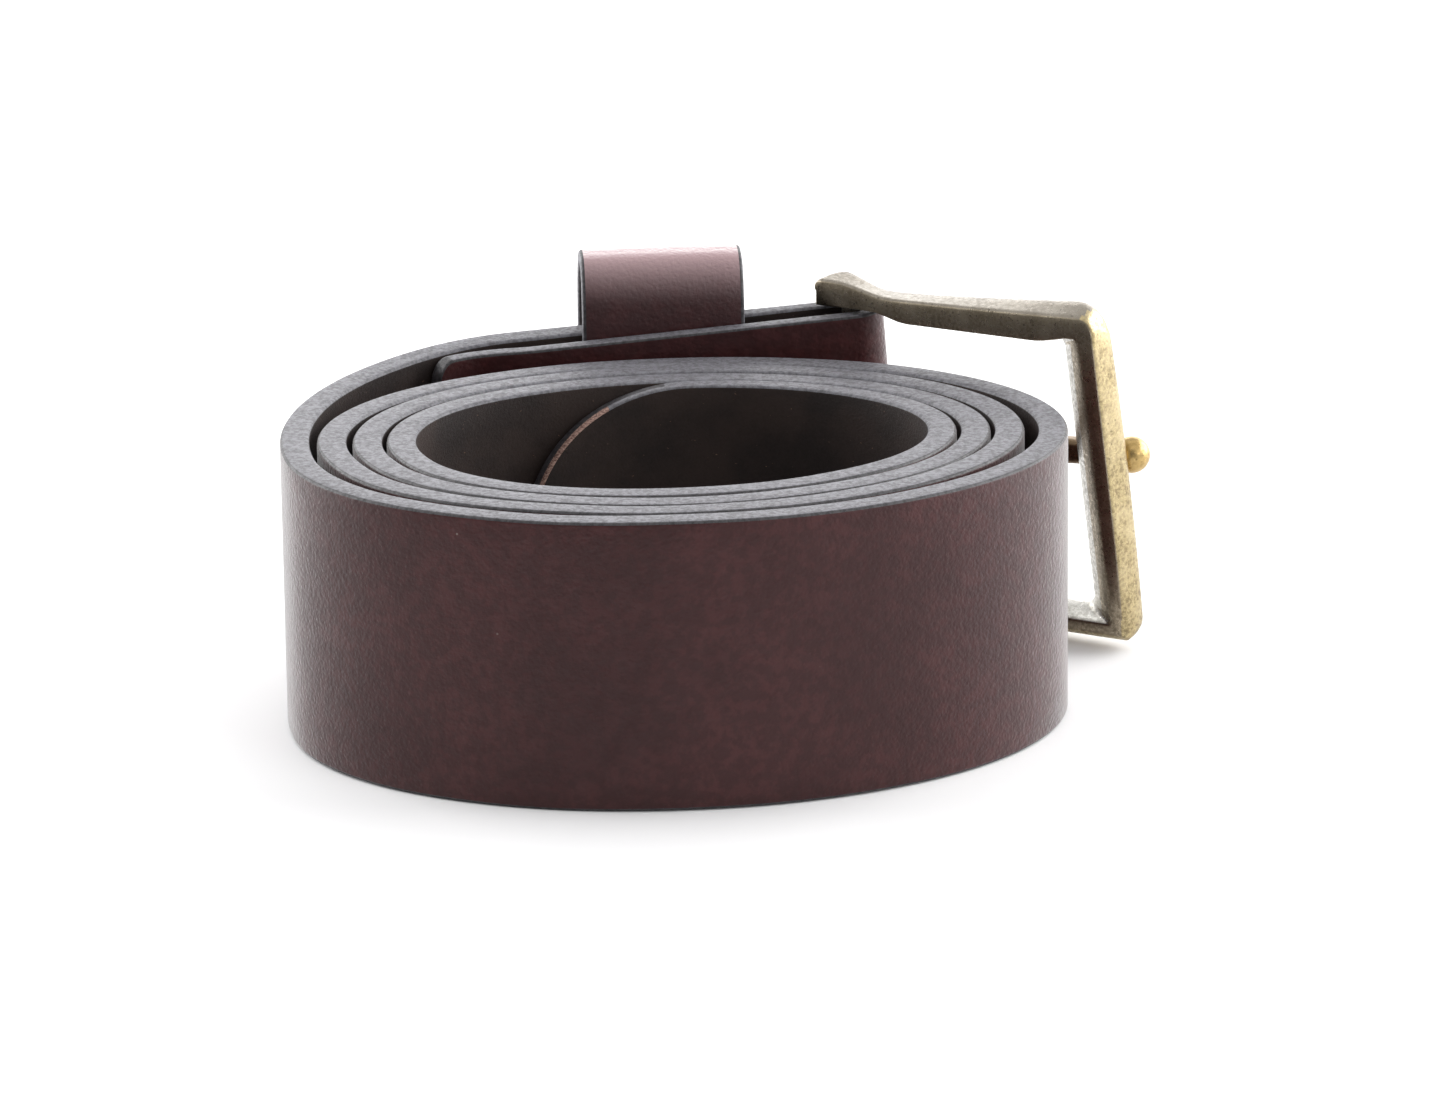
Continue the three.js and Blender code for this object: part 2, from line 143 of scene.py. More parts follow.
def smooth(x):
    t = min(1.0, max(0.0, x))
    return t * t * (3 - 2 * t)


def mix(a, b, t):
    return a + (b - a) * t


def rounded_rectangle(half_x, half_y, radius, cuts_x, cuts_y, arc=4):
    """Points round a rectangle with round corners, anticlockwise from the upper end of its +x side."""
    corners = [(1, 1), (-1, 1), (-1, -1), (1, -1)]
    points = []
    for quarter, (sx, sy) in enumerate(corners):
        cx = sx * (half_x - radius)
        cy = sy * (half_y - radius)
        for i in range(arc + 1):
            angle = (quarter + i / arc) * math.pi / 2
            points.append((cx + radius * math.cos(angle), cy + radius * math.sin(angle)))
        cuts = cuts_x if quarter % 2 == 0 else cuts_y
        tx, ty = corners[(quarter + 1) % 4]
        angle = (quarter + 1) * math.pi / 2
        start = points[-1]
        end = (tx * (half_x - radius) + radius * math.cos(angle),
               ty * (half_y - radius) + radius * math.sin(angle))
        for i in range(1, cuts + 1):
            t = i / (cuts + 1)
            points.append((mix(start[0], end[0], t), mix(start[1], end[1], t)))
    return points


def skin(rings, closed=False):
    """Vertices and faces over rings of equally many points, with flat ends unless it is closed."""
    count = len(rings[0])
    vertices = [point for ring in rings for point in ring]
    faces = []
    spans = len(rings) if closed else len(rings) - 1
    for i in range(spans):
        a = i * count
        b = (i + 1) % len(rings) * count
        for j in range(count):
            k = (j + 1) % count
            faces.append((a + j, a + k, b + k, b + j))
    if not closed:
        faces.append(tuple(reversed(range(count))))
        faces.append(tuple(range(len(vertices) - count, len(vertices))))
    return vertices, faces


def circle(x, radius, sides=28):
    points = []
    for i in range(sides):
        angle = 2 * math.pi * i / sides
        points.append((x + radius * math.cos(angle), radius * math.sin(angle)))
    return points


def level_ring(outline, z):
    return [Vector((x, y, z)) for x, y in outline]


def prism(outline, low, high):
    return skin([level_ring(outline, low), level_ring(outline, high)])


def make_object(name, vertices, faces):
    mesh = bpy.data.meshes.new(name)
    mesh.from_pydata([tuple(v) for v in vertices], [], faces)
    mesh.validate()
    obj = bpy.data.objects.new(name, mesh)
    bpy.context.scene.collection.objects.link(obj)
    return obj


def facing_out(obj):
    """Turns the faces of a closed mesh outwards."""
    mesh = obj.data
    volume = 0
    for polygon in mesh.polygons:
        corners = [mesh.vertices[i].co for i in polygon.vertices]
        for i in range(1, len(corners) - 1):
            volume += corners[0].dot(corners[i].cross(corners[i + 1]))
    if volume < 0:
        mesh.flip_normals()
    return obj


def combine(obj, other, operation):
    """A boolean of two closed meshes, applied to the first; the other is removed."""
    modifier = obj.modifiers.new("combine", "BOOLEAN")
    modifier.operation = operation
    modifier.object = other
    modifier.solver = "EXACT"
    bpy.context.view_layer.update()
    evaluated = obj.evaluated_get(bpy.context.evaluated_depsgraph_get())
    mesh = bpy.data.meshes.new_from_object(evaluated)
    obj.modifiers.clear()
    old = obj.data
    obj.data = mesh
    bpy.data.meshes.remove(old)
    bpy.data.objects.remove(other)
    return obj


def place(obj, basis, origin):
    """Moves a piece's points from its own axes into the part's frame, and into metres."""
    x, y, z = basis
    for vertex in obj.data.vertices:
        p = vertex.co
        vertex.co = (origin + x * p.x + y * p.y + z * p.z) * MM
    return obj


def finish_piece(obj, body, materials, sharp_angle=38, replaces=()):
    """Smooth shading, materials, and the frame's own record of what the piece is."""
    for polygon in obj.data.polygons:
        polygon.use_smooth = True
    obj.data.set_sharp_from_angle(angle=math.radians(sharp_angle))
    obj.data.materials.clear()
    for material in materials:
        obj.data.materials.append(material)
    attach(obj, body)
    if replaces:
        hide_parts(*replaces)
    return obj


# ---- The strap's centre line -----------------------------------------------------------------------

def oval_point(oval, psi, grow):
    """A point of the coil's eye or rim, grown outwards."""
    x = (oval["a"] + grow) * math.cos(psi)
    y = (oval["b"] + grow) * math.sin(psi)
    c = math.cos(oval["turn"])
    s = math.sin(oval["turn"])
    return Vector((oval["x"] + x * c - y * s, oval["y"] + x * s + y * c, 0))


def tightness(layer, psi):
    return (TIGHTER_BACK[layer] * max(0, math.sin(psi)) ** 2
            + TIGHTER_RIGHT[layer] * max(0, math.cos(psi)) ** 2
            + TIGHTER_LEFT[layer] * max(0, -math.cos(psi)) ** 2)


def coil_point(turns):
    """The strap's middle in the coil, a number of turns from the tip: flat turns with short climbs."""
    psi = (TIP_TURN - turns) * 2 * math.pi
    layer = min(int(turns), LAYERS_BETWEEN)
    following = min(layer + 1, LAYERS_BETWEEN)
    climb = smooth((turns - layer - STEP_FROM) / (1 - STEP_FROM)) if layer < LAYERS_BETWEEN else 0
    tight = mix(tightness(layer, psi), tightness(following, psi), climb)
    inner = oval_point(EYE, psi, LEATHER / 2)
    outer = oval_point(RIM, psi, -LEATHER / 2)
    return inner.lerp(outer, (layer + climb) / LAYERS_BETWEEN - tight)


def bezier(a, b, c, d, t):
    u = 1 - t
    return a * u ** 3 + b * (3 * u * u * t) + c * (3 * u * t * t) + d * t ** 3


def path_points():
    """The strap's middle seen from above: the coil, a free curve, and the straight run to the fold."""
    points = [coil_point(COIL_TURNS * i / 4000) for i in range(4001)]
    heading = Vector((math.cos(RUN_HEADING), math.sin(RUN_HEADING), 0))
    leaving = (points[-1] - points[-2]).normalized()
    fold = Vector((*FOLD_PLAN, 0))
    run_start = fold - heading * RUN_LENGTH
    leave = points[-1]
    first_handle = leave + leaving * DEPART_REACH
    second_handle = run_start - heading * ARRIVE_REACH
    points += [bezier(leave, first_handle, second_handle, run_start, i / 400) for i in range(1, 401)]
    points += [run_start.lerp(fold, i / 100) for i in range(1, 101)]
    return points


PATH = path_points()
PATH_AT = [0.0]                  # distance of each point of the path from the tip
for before_point, point in zip(PATH, PATH[1:]):
    PATH_AT.append(PATH_AT[-1] + (point - before_point).length)
FOLD_START = PATH_AT[-1]
FOLD_ARC = math.pi * FOLD_RADIUS
STRAP_LENGTH = FOLD_START + FOLD_ARC + TURN_BACK
CLIMB_END = RUN_LENGTH + 2 * (FOLD_LIFT / math.tan(RUN_TILT) - RUN_LENGTH)


def path_place(s):
    s = min(max(s, 0), FOLD_START)
    i = min(max(bisect.bisect_left(PATH_AT, s), 1), len(PATH) - 1)
    t = (s - PATH_AT[i - 1]) / (PATH_AT[i] - PATH_AT[i - 1])
    return PATH[i - 1].lerp(PATH[i], t)


def path_direction(s):
    reach = 0.4
    return (path_place(s + reach) - path_place(s - reach)).normalized()


def lift_at(before):
    """Height of the strap's lower edge and its slope, at a distance before the fold."""
    slope = math.tan(RUN_TILT)
    if before < RUN_LENGTH:
        return FOLD_LIFT - slope * before, slope
    left = max(0, CLIMB_END - before) / (CLIMB_END - RUN_LENGTH)
    return (FOLD_LIFT - slope * RUN_LENGTH) * left * left, slope * left


def main_frame(s):
    """The strap's own axes at a distance from its tip: centre, along, across, out of its grain side."""
    before = FOLD_START - s
    lift, slope = lift_at(before)
    along = path_direction(s)
    along.z = slope
    along.normalize()
    level = UP.cross(along).normalized()
    lean = RUN_LEAN * smooth((LEAN_START - before) / (LEAN_START - RUN_LENGTH))
    across = along.cross(level) * math.cos(lean) - level * math.sin(lean)
    out = across.cross(along)
    centre = path_place(s) + COIL_CENTRE + UP * (STRAP_WIDTH / 2 + lift)
    return centre, along, across, out


FOLD_CENTRE, FOLD_ALONG, FOLD_ACROSS, FOLD_OUT = main_frame(FOLD_START)
BAR_CENTRE = FOLD_CENTRE - FOLD_OUT * FOLD_RADIUS


def thickness_at(s):
    at_tip = mix(TIP_THICKNESS, LEATHER, smooth(s / TIP_PARED))
    at_fold = mix(THINNED, LEATHER, smooth((FOLD_START - s - 4) / 40))
    return min(at_tip, at_fold)


KEEPER_REACH = (KEEPER_WIDTH + KEEPER_HEIGHT * math.sin(RUN_TILT)) / 2 + KEEPER_SLIDE
KEEPER_NEAR_FACE = thickness_at(FOLD_START - KEEPER_DISTANCE - KEEPER_REACH) / 2 + KEEPER_CLEARANCE


def turn_back_offset(before):
    """Distance between the middles of the strap and of its turned-back end."""
    together = (thickness_at(FOLD_START - before) + THINNED) / 2 + AIR_AT_END
    past_keeper = KEEPER_NEAR_FACE + KEEPER_WALL + KEEPER_CLEARANCE + THINNED / 2
    away = before - KEEPER_DISTANCE - KEEPER_REACH
    apart = mix(past_keeper, together, smooth((away - GAP) / CLOSE_OVER))
    return mix(2 * FOLD_RADIUS, apart, smooth((before - 1) / 10))


def strap_frame(s):
    """Centre, across and out of the grain side, also round the fold and along the turned-back end."""
    if s <= FOLD_START:
        centre, _, across, out = main_frame(s)
        return centre, across, out
    if s <= FOLD_START + FOLD_ARC:
        angle = (s - FOLD_START) / FOLD_RADIUS
        normal = FOLD_OUT * math.cos(angle) + FOLD_ALONG * math.sin(angle)
        return BAR_CENTRE + normal * FOLD_RADIUS, FOLD_ACROSS, normal
    before = s - FOLD_START - FOLD_ARC
    centre, _, across, out = main_frame(FOLD_START - before)
    return centre - out * turn_back_offset(before), across, -out


def wind_up(s, w, n):
    """A point of the flat strap, carried to its place in the coiled one."""
    centre, across, out = strap_frame(s)
    thick = thickness_at(s)
    pared = LEATHER - thick if s < TIP_PARED else 0
    return centre + across * w + out * (n * thick / LEATHER - pared / 2)


# ---- Materials -------------------------------------------------------------------------------------

class Shader:
    """One procedural material: textures in object space, joined to a Principled shader."""

    def __init__(self, name):
        self.material = bpy.data.materials.new(name)
        self.material.use_nodes = True
        self.tree = self.material.node_tree
        self.principled = self.tree.nodes["Principled BSDF"]
        self.place = self.node("ShaderNodeTexCoord").outputs["Object"]

    def node(self, kind):
        return self.tree.nodes.new(kind)

    def link(self, source, target):
        self.tree.links.new(source, target)

    def stretched(self, scale):
        """The place, scaled along each axis: more than 1 shortens what is drawn along it."""
        mapping = self.node("ShaderNodeMapping")
        mapping.inputs["Scale"].default_value = scale
        self.link(self.place, mapping.inputs["Vector"])
        return mapping.outputs["Vector"]

    def noise(self, size, detail=4.0, roughness=0.55, vector=None):
        """Noise whose features are about `size` millimetres across."""
        texture = self.node("ShaderNodeTexNoise")
        texture.inputs["Scale"].default_value = 1 / (size * MM)
        texture.inputs["Detail"].default_value = detail
        texture.inputs["Roughness"].default_value = roughness
        self.link(vector or self.place, texture.inputs["Vector"])
        return texture.outputs["Fac"]

    def cells(self, size, feature="F1"):
        """Round cells about `size` millimetres apart."""
        texture = self.node("ShaderNodeTexVoronoi")
        texture.feature = feature
        texture.inputs["Scale"].default_value = 1 / (size * MM)
        self.link(self.place, texture.inputs["Vector"])
        return texture.outputs["Distance"]

    def remap(self, source, low, high, to_low=0.0, to_high=1.0):
        """Smoothly from to_low to to_high while the source goes from low to high."""
        ranges = self.node("ShaderNodeMapRange")
        ranges.interpolation_type = "SMOOTHSTEP"
        ranges.inputs["From Min"].default_value = low
        ranges.inputs["From Max"].default_value = high
        ranges.inputs["To Min"].default_value = to_low
        ranges.inputs["To Max"].default_value = to_high
        self.link(source, ranges.inputs["Value"])
        return ranges.outputs["Result"]

    def times(self, first, second):
        """The product of a socket and a number or another socket."""
        maths = self.node("ShaderNodeMath")
        maths.operation = "MULTIPLY"
        self.link(first, maths.inputs[0])
        if isinstance(second, float):
            maths.inputs[1].default_value = second
        else:
            self.link(second, maths.inputs[1])
        return maths.outputs["Value"]

    def blend(self, factor, first, second):
        """Colours are given as (red, green, blue) or as a socket."""
        mixer = self.node("ShaderNodeMix")
        mixer.data_type = "RGBA"
        self.link(factor, mixer.inputs["Factor"])
        for socket, colour in ((mixer.inputs[6], first), (mixer.inputs[7], second)):
            if isinstance(colour, tuple):
                socket.default_value = (*colour, 1)
            else:
                self.link(colour, socket)
        return mixer.outputs[2]

    def bump(self, height, depth, over=None):
        """Relief of `depth` millimetres, laid over another relief if one is given."""
        relief = self.node("ShaderNodeBump")
        relief.inputs["Strength"].default_value = 1.0
        relief.inputs["Distance"].default_value = depth * MM
        self.link(height, relief.inputs["Height"])
        if over is not None:
            self.link(over, relief.inputs["Normal"])
        return relief.outputs["Normal"]

    def finish(self, colour, roughness, normal, specular=0.5, metallic=0.0, sheen=0.0):
        self.principled.inputs["Sheen Weight"].default_value = sheen
        self.principled.inputs["Sheen Roughness"].default_value = 0.3
        self.principled.inputs["Specular IOR Level"].default_value = specular
        self.principled.inputs["Metallic"].default_value = metallic
        self.link(colour, self.principled.inputs["Base Color"])
        self.link(roughness, self.principled.inputs["Roughness"])
        self.link(normal, self.principled.inputs["Normal"])
        return self.material


def leather_grain(name, dark, light, specular, painted_top_highlight=None):
    """The smooth side: close pebbled grain with pores, a soft sheen, and a few pale specks.

    A pale colour, where one is given, comes in towards the top of the part: a painted highlight
    standing for the light on the keeper's top bend.
    """
    s = Shader(name)
    clouds = s.noise(14, 3)
    mottle = s.noise(1.6, 5, 0.6)
    colour = s.blend(s.remap(clouds, 0.35, 0.68), dark, light)
    deeper = tuple(0.6 * c for c in dark)
    colour = s.blend(s.remap(mottle, 0.62, 0.42, 0.0, 0.5), colour, deeper)
    if painted_top_highlight is not None:
        height = s.node("ShaderNodeSeparateXYZ")
        s.link(s.place, height.inputs["Vector"])
        # painted highlight: the colour turns pale towards the top of the part
        colour = s.blend(s.remap(height.outputs["Z"], 44 * MM, 53 * MM), colour, painted_top_highlight)
    specks = s.remap(s.cells(3.4), 0.055, 0.03)
    rare = s.remap(s.noise(7, 2), 0.56, 0.66)
    colour = s.blend(s.times(specks, rare), colour, (0.16, 0.12, 0.11))
    pebbles = s.cells(0.55, "SMOOTH_F1")
    pores = s.noise(0.34, 3, 0.6)
    creases = s.noise(1.2, 4, 0.6, s.stretched((1, 1, 1.7)))
    normal = s.bump(creases, 0.06)
    normal = s.bump(pebbles, 0.06, over=normal)
    normal = s.bump(pores, 0.05, over=normal)
    roughness = s.remap(s.noise(2.2, 4), 0.3, 0.7, 0.38, 0.50)
    return s.finish(colour, roughness, normal, specular=specular, sheen=1.0)


def leather_edge(name, low, high, pale):
    """The painted, burnished edge: granular, with darker grains and paler streaks worn by rubbing."""
    s = Shader(name)
    grains = s.noise(0.6, 4, 0.65)
    patches = s.noise(3.0, 4, 0.6)
    colour = s.blend(s.remap(grains, 0.36, 0.62), low, high)
    colour = s.blend(s.remap(patches, 0.5, 0.75, 0.0, 0.4), colour, pale)
    pits = s.remap(s.cells(1.5), 0.20, 0.10)
    colour = s.blend(s.times(pits, 0.4), colour, tuple(0.4 * c for c in low))
    normal = s.bump(patches, 0.10)
    normal = s.bump(grains, 0.08, over=normal)
    roughness = s.remap(grains, 0.3, 0.7, 0.62, 0.45)
    return s.finish(colour, roughness, normal)


def leather_raw():
    """The cut edge of the thin tip, where the tan core of the leather shows through."""
    s = Shader("leather_raw_edge")
    fibres = s.noise(0.5, 5, 0.7, s.stretched((1, 1, 3)))
    colour = s.blend(s.remap(fibres, 0.38, 0.62), (0.12, 0.062, 0.050), (0.46, 0.29, 0.235))
    normal = s.bump(fibres, 0.14)
    return s.finish(colour, s.remap(fibres, 0.3, 0.7, 0.9, 0.7), normal)


def leather_flesh():
    """The inner side: very dark and close, with a fine nap and scattered tan fibres."""
    s = Shader("leather_flesh")
    clouds = s.noise(9, 4)
    colour = s.blend(s.remap(clouds, 0.35, 0.65), (0.016, 0.0105, 0.0095), (0.030, 0.019, 0.016))
    fibres = s.remap(s.noise(0.9, 3, 0.6, s.stretched((1, 1, 2.2))), 0.70, 0.76)
    colour = s.blend(fibres, colour, (0.17, 0.10, 0.07))
    nap = s.noise(0.36, 4, 0.7)
    normal = s.bump(nap, 0.10)
    roughness = s.remap(nap, 0.3, 0.7, 0.72, 0.55)
    return s.finish(colour, roughness, normal, specular=0.3)


def aged_brass(name, bright, worn, dull):
    """Cast brass: fine mottled patina, tiny pits and brighter patches worn by rubbing."""
    s = Shader(name)
    patina = s.noise(0.55, 5, 0.65)
    patches = s.noise(4.5, 4, 0.6)
    colour = s.blend(s.remap(patina, 0.36, 0.60), dull, bright)
    colour = s.blend(s.remap(patches, 0.42, 0.70, 0.0, 0.65), colour, worn)
    pits = s.remap(s.cells(1.3), 0.17, 0.07)
    colour = s.blend(s.times(pits, 0.6), colour, tuple(0.35 * c for c in dull))
    scratches = s.noise(0.9, 3, 0.5, s.stretched((6, 6, 0.7)))
    normal = s.bump(patches, 0.05)
    normal = s.bump(scratches, 0.012, over=normal)
    normal = s.bump(patina, 0.02, over=normal)
    roughness = s.remap(patina, 0.3, 0.7, 0.42, 0.24)
    return s.finish(colour, roughness, normal, metallic=1.0)


def table_top():
    """A plain matt white surface with a trace of unevenness."""
    s = Shader("table_top")
    clouds = s.noise(120, 3)
    colour = s.blend(clouds, (0.84, 0.835, 0.84), (0.87, 0.865, 0.865))
    return s.finish(colour, s.remap(clouds, 0.3, 0.7, 0.75, 0.85), s.bump(s.noise(2.5, 3), 0.02))


GRAIN = leather_grain("leather_grain", (0.038, 0.0090, 0.0094), (0.056, 0.0150, 0.0154), 0.28)
# The keeper's last colour is a painted highlight on its top bend.
KEEPER_GRAIN = leather_grain("leather_keeper", (0.046, 0.0112, 0.0118), (0.066, 0.019, 0.020), 0.55,
                             (0.43, 0.29, 0.30))
EDGE = leather_edge("leather_edge", (0.082, 0.078, 0.086), (0.150, 0.147, 0.164), (0.19, 0.188, 0.206))
ARRIS = leather_edge("leather_arris", (0.018, 0.016, 0.018), (0.045, 0.041, 0.045), (0.07, 0.062, 0.06))
RAW = leather_raw()
FLESH = leather_flesh()
# Copies of one brass; on the frame they are picked by which way a face points, as painted reflection
# and painted shade.
BRASS = aged_brass("brass_rail", (0.240, 0.212, 0.174), (0.285, 0.256, 0.212), (0.180, 0.154, 0.120))
GOLDEN = aged_brass("brass_end", (0.43, 0.35, 0.19), (0.52, 0.43, 0.26), (0.22, 0.17, 0.095))
# A darker copy of the brass for the frame's back faces: painted shade.
BACK_PAINTED_SHADE = aged_brass("brass_back_painted_shade", (0.33, 0.28, 0.205), (0.40, 0.345, 0.26), (0.20, 0.165, 0.115))
# A pale copy of the brass for the frame's inner walls: painted reflection of the white table and sides.
INNER_PAINTED_REFLECTION = aged_brass("brass_inner_painted_reflection", (0.50, 0.485, 0.45), (0.60, 0.585, 0.55), (0.30, 0.285, 0.25))
# The prong's tip keeps this brighter brass; its shank gets the darker copy below as painted shade.
TIP_BRASS = aged_brass("brass_tip", (0.46, 0.315, 0.125), (0.53, 0.39, 0.175), (0.35, 0.235, 0.09))
# A darker copy of the brass for the prong's shank: painted shade.
SHANK_PAINTED_SHADE = aged_brass("brass_shank_painted_shade", (0.17, 0.115, 0.070), (0.24, 0.17, 0.10), (0.085, 0.055, 0.035))


# ---- The strap -------------------------------------------------------------------------------------

EDGE_ROUND = 0.55
END_CORNER = 3.0                 # corner radius of the turned-back end


def half_width(s):
    """Half the strap's width, drawn in round the tip and at the corners of the turned-back end."""
    if s < TIP_LENGTH:
        return STRAP_WIDTH / 2 * math.sqrt(max(0, 1 - ((TIP_LENGTH - s) / TIP_LENGTH) ** 2))
    to_end = STRAP_LENGTH - s
    if to_end < END_CORNER:
        return STRAP_WIDTH / 2 - END_CORNER + math.sqrt(END_CORNER ** 2 - (END_CORNER - to_end) ** 2)
    return STRAP_WIDTH / 2


def strap_stations():
    """Distances along the strap at which it gets a ring of points, closer together where it bends."""
    stations = [TIP_LENGTH * (1 - math.cos(math.radians(angle))) for angle in range(3, 90, 3)]

    def add(start, end, step):
        count = math.ceil((end - start) / step)
        stations.extend(mix(start, end, i / count) for i in range(count))

    add(TIP_LENGTH, FOLD_START - 50, 1.5)
    add(FOLD_START - 50, FOLD_START, 1.2)
    add(FOLD_START, FOLD_START + FOLD_ARC, 0.4)
    add(FOLD_START + FOLD_ARC, STRAP_LENGTH - END_CORNER, 1.0)
    for angle in range(0, 90, 12):
        stations.append(STRAP_LENGTH - END_CORNER * math.cos(math.radians(angle)))
    stations.append(STRAP_LENGTH - 0.02)
    return stations


def wavy(s, w):
    """Small unevenness of the strap's edges and of how high each turn sits, gone before the buckle."""
    edge = noise.noise(Vector((s * 0.06, w * 0.02, 3.1))) * 0.10
    sit = abs(noise.noise(Vector((s * 0.0042, 7.7, 1.3)))) * 0.35
    calm = smooth((FOLD_START - 12 - s) / 40)
    return (edge * abs(w) / (STRAP_WIDTH / 2) + sit) * calm


def flat_strap():
    """The strap laid out flat at full thickness: x along, y across, z towards the grain side."""
    rings = []
    for s in strap_stations():
        half = half_width(s)
        radius = min(EDGE_ROUND, half * 0.8)
        section = rounded_rectangle(half, LEATHER / 2, radius, 9, 2)
        rings.append([Vector((s, w, n)) for w, n in section])
    return facing_out(make_object("strap_leather", *skin(rings)))


def slot_outline():
    start = FOLD_START - SLOT_BEFORE
    end = FOLD_START + FOLD_ARC + SLOT_AFTER
    shape = rounded_rectangle((end - start) / 2, SLOT_WIDTH / 2, SLOT_WIDTH / 2 - 0.01, 24, 0, 8)
    return [((start + end) / 2 + x, y) for x, y in shape]


def strap_cutters():
    outlines = [circle(s, HOLE_RADIUS) for s in HOLE_PLACES]
    for distance in SCREW_PLACES.values():
        outlines.append(circle(FOLD_START - distance, SCREW_HOLE))
        outlines.append(circle(FOLD_START + FOLD_ARC + distance, SCREW_HOLE))
    outlines.append(slot_outline())
    vertices = []
    faces = []
    for outline in outlines:
        more, around = prism(outline, -LEATHER, LEATHER)
        faces.extend(tuple(i + len(vertices) for i in face) for face in around)
        vertices.extend(more)
    return facing_out(make_object("strap_cutters", vertices, faces))


def paint_strap(mesh):
    """Grain outside, flesh inside, painted edges with a darker outer arris, and a raw cut tip."""
    grain, flesh, edge, raw, arris = range(5)
    for polygon in mesh.polygons:
        s, w, n = polygon.center
        on_face = abs(n) > LEATHER / 2 - 0.10 and abs(w) < half_width(s) - 0.35
        near_tip = s < TIP_LENGTH * 0.86
        if on_face:
            polygon.material_index = grain if n > 0 else flesh
        elif near_tip and n < -LEATHER / 2 + 1.9:
            polygon.material_index = raw if s < TIP_LENGTH * 0.5 else edge
        elif near_tip or n > LEATHER / 2 - 0.30 or s > STRAP_LENGTH - END_CORNER:
            polygon.material_index = arris
        else:
            polygon.material_index = edge


def make_strap():
    """Cut and painted while it is flat, then wound up."""
    strap = combine(flat_strap(), strap_cutters(), "DIFFERENCE")
    finish_piece(strap, "strap", (GRAIN, FLESH, EDGE, RAW, ARRIS), 50, ("strap",))
    paint_strap(strap.data)
    for vertex in strap.data.vertices:
        s, w, n = vertex.co
        vertex.co = wind_up(s, w, n) * MM + UP * wavy(s, w) * MM
    strap.data.update()
    return strap


# ---- The keeper ------------------------------------------------------------------------------------

def keeper_basis():
    """The keeper stands upright in the plane of the strap, which climbs through it."""
    centre, along, across, out = main_frame(FOLD_START - KEEPER_DISTANCE)
    turn = Matrix.Rotation(RUN_TILT, 3, out)
    along = turn @ along
    across = turn @ across
    origin = centre + across * ((KEEPER_FOOT - centre.z) / across.z)
    return (along, out, across), origin


def keeper_path():
    """Middle of the keeper's wall, going round: distance out, height and direction out of the loop."""
    half_out = (KEEPER_ROOM + KEEPER_WALL) / 2
    half_up = (KEEPER_HEIGHT - KEEPER_WALL) / 2
    top = (KEEPER_TOP_BEND + KEEPER_WALL, KEEPER_SHOULDER)
    bottom = (KEEPER_BOTTOM_BEND + KEEPER_WALL / 2, KEEPER_BOTTOM_BEND + KEEPER_WALL / 2)
    corners = [(1, 1, top), (-1, 1, top), (-1, -1, bottom), (1, -1, bottom)]
    places = []
    for quarter, (sx, sy, (wide, tall)) in enumerate(corners):
        for i in range(11):
            angle = (quarter + i / 10) * math.pi / 2
            x = sx * (half_out - wide) + wide * math.cos(angle)
            y = sy * (half_up - tall) + tall * math.sin(angle)
            places.append((x, y))
        nx, ny, (next_wide, next_tall) = corners[(quarter + 1) % 4]
        angle = (quarter + 1) * math.pi / 2
        end_x = nx * (half_out - next_wide) + next_wide * math.cos(angle)
        end_y = ny * (half_up - next_tall) + next_tall * math.sin(angle)
        start_x, start_y = places[-1]
        cuts = 3 if quarter % 2 == 0 else 16
        for i in range(1, cuts + 1):
            t = i / (cuts + 1)
            places.append((mix(start_x, end_x, t), mix(start_y, end_y, t)))
    directions = []
    for i, (x, y) in enumerate(places):
        before_x, before_y = places[i - 1]
        after_x, after_y = places[(i + 1) % len(places)]
        out = Vector((after_y - before_y, before_x - after_x)).normalized()
        directions.append((x, y, out))
    return directions


def make_keeper():
    """A closed leather loop: a soft, slightly crowned section carried round the keeper's path."""
    rings = []
    middle = -KEEPER_NEAR_FACE + KEEPER_ROOM / 2
    section = rounded_rectangle(KEEPER_WIDTH / 2, KEEPER_WALL / 2, 0.5, 8, 1)
    for x, y, away in keeper_path():
        ring = []
        for u, v in section:
            crown = 0.12 * (1 - (2 * u / KEEPER_WIDTH) ** 2)
            height = y + away[1] * (v + crown) + KEEPER_HEIGHT / 2
            ring.append(Vector((u, x + away[0] * v + middle, height)))
        rings.append(ring)
    keeper = facing_out(make_object("keeper_leather", *skin(rings, closed=True)))
    finish_piece(keeper, "keeper", (KEEPER_GRAIN, EDGE, ARRIS), 50, ("keeper_loop",))
    grain, edge, arris = range(3)
    for polygon in keeper.data.polygons:
        to_side = KEEPER_WIDTH / 2 - abs(polygon.center.x)
        polygon.material_index = edge if to_side < 0.12 else arris if to_side < 0.42 else grain
    basis, origin = keeper_basis()
    place(keeper, basis, origin)
    keeper.data.update()
    return keeper


# ---- The screws ------------------------------------------------------------------------------------

def lathe(name, profile, sides=40):
    """A closed turned piece; the profile is (radius, height) pairs, its two ends flat."""
    rings = []
    for radius, height in profile:
        rings.append([Vector((x, height, z)) for x, z in circle(0, radius, sides)])
    return facing_out(make_object(name, *skin(rings)))


def screw_stack(distance):
    """How far the leathers reach out and in under a screw's two heads."""
    outside = 0
    inside = 0
    for i in range(-4, 5):
        away = SCREW_HEAD * i / 4
        outside = max(outside, thickness_at(FOLD_START - distance - away) / 2)
        inside = max(inside, turn_back_offset(distance + away) + THINNED / 2)
    return outside + GAP, inside + GAP


